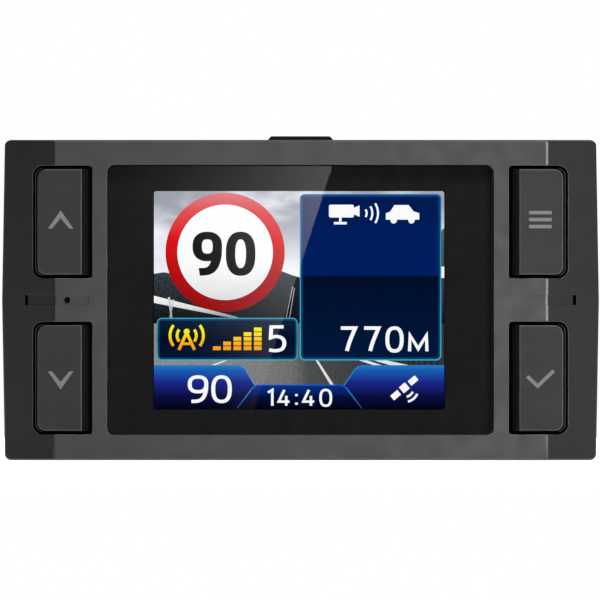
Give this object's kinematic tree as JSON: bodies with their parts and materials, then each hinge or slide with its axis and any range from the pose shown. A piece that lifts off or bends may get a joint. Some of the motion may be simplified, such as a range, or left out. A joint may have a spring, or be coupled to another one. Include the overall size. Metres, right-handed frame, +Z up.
{
  "type": "radar detector",
  "caption": "Compact windscreen radar detector with a colour display between sprung buttons, a camera lens and laser window on its back, and a contact pad for a magnetic mount on top.",
  "frame": {"origin": "centre of the bounding box at the level of the base", "axes": "+Z up; the display looks towards -Y; the camera lens looks towards +Y; the longest side runs along X"},
  "size_m": [0.0842, 0.0374, 0.0457],
  "materials": {
    "front_cover": "fine matte grain, dark grey",
    "rear_cover": "fine matte grain, near black",
    "display_window": "polished, dark tint",
    "display_mask": "flat black print",
    "lcd_panel": "lit colour display",
    "lcd_frame": "pressed thin sheet",
    "ribbon": "amber flexible film",
    "board": "green solder mask",
    "switch_metal": "thin pressed cover",
    "microphone": "plain",
    "rubber": "soft matte",
    "battery": "foil wrap",
    "black_plastic": "moulded",
    "chips": "moulded, matt",
    "heat_sink": "extruded",
    "coils": "moulded ferrite",
    "socket_metal": "thin pressed shell",
    "radar_board": "blue solder mask",
    "radar_horn": "die cast, satin",
    "shield_metal": "thin pressed sheet",
    "laser_window": "dark red, polished",
    "clear_lens": "polished",
    "image_sensor": "dark coated glass",
    "lens_barrel": "ridged, anti-glare",
    "front_lens": "coated, polished",
    "lens_ring": "dark anodised, satin",
    "screw_steel": "plated",
    "speaker_cone": "pressed film",
    "magnet_metal": "plated",
    "lead_cover": "soft covering",
    "antenna_ceramic": "fired, with a silvered patch",
    "black_lead": "soft covering",
    "mount_plate": "moulded, satin",
    "contacts": "gold plated",
    "buttons": "soft matte, dark grey",
    "plungers": "moulded"
  },
  "bodies": {
    "case": {"front_cover": "front_cover", "rear_cover": "rear_cover", "display_window": "display_window", "display_mask": "display_mask", "lcd_panel": "lcd_panel", "lcd_frame": "lcd_frame", "lcd_ribbon": "ribbon", "display_board": "board", "switch_bodies": "switch_metal", "microphone": "microphone", "microphone_boot": "rubber", "backup_battery": "battery", "board_connector": "black_plastic", "main_board": "board", "processor": "chips", "heat_sink": "heat_sink", "memory_chips": "chips", "power_coils": "coils", "card_socket": "socket_metal", "usb_socket": "socket_metal", "usb_tongue": "black_plastic", "radar_board": "radar_board", "radar_horn": "radar_horn", "radar_shield": "shield_metal", "laser_window": "laser_window", "laser_lens": "clear_lens", "laser_sensor": "chips", "laser_board": "board", "camera_board": "board", "image_sensor": "image_sensor", "lens_holder": "black_plastic", "lens_barrel": "lens_barrel", "inner_lenses": "clear_lens", "front_lens": "front_lens", "lens_ring": "lens_ring", "camera_ribbon": "ribbon", "camera_screws": "screw_steel", "speaker_frame": "black_plastic", "speaker_cone": "speaker_cone", "speaker_magnet": "magnet_metal", "speaker_leads": "lead_cover", "gps_board": "board", "gps_antenna": "antenna_ceramic", "gps_lead": "black_lead", "mount_plate": "mount_plate", "mount_magnets": "magnet_metal", "contact_pads": "contacts", "housing_screws": "screw_steel"},
    "up_key": {"up_button": "buttons", "up_plunger": "plungers"},
    "down_key": {"down_button": "buttons", "down_plunger": "plungers"},
    "menu_key": {"menu_button": "buttons", "menu_plunger": "plungers"},
    "ok_key": {"ok_button": "buttons", "ok_plunger": "plungers"}
  },
  "joints": [
    {"name": "up_press", "type": "slide", "parent": "case", "child": "up_key", "axis": [0, 1, 0], "range_m": [0, 0.0005], "stiffness_N_per_m": 3000},
    {"name": "down_press", "type": "slide", "parent": "case", "child": "down_key", "axis": [0, 1, 0], "range_m": [0, 0.0005], "stiffness_N_per_m": 3000},
    {"name": "menu_press", "type": "slide", "parent": "case", "child": "menu_key", "axis": [0, 1, 0], "range_m": [0, 0.0005], "stiffness_N_per_m": 3000},
    {"name": "ok_press", "type": "slide", "parent": "case", "child": "ok_key", "axis": [0, 1, 0], "range_m": [0, 0.0005], "stiffness_N_per_m": 3000}
  ]
}
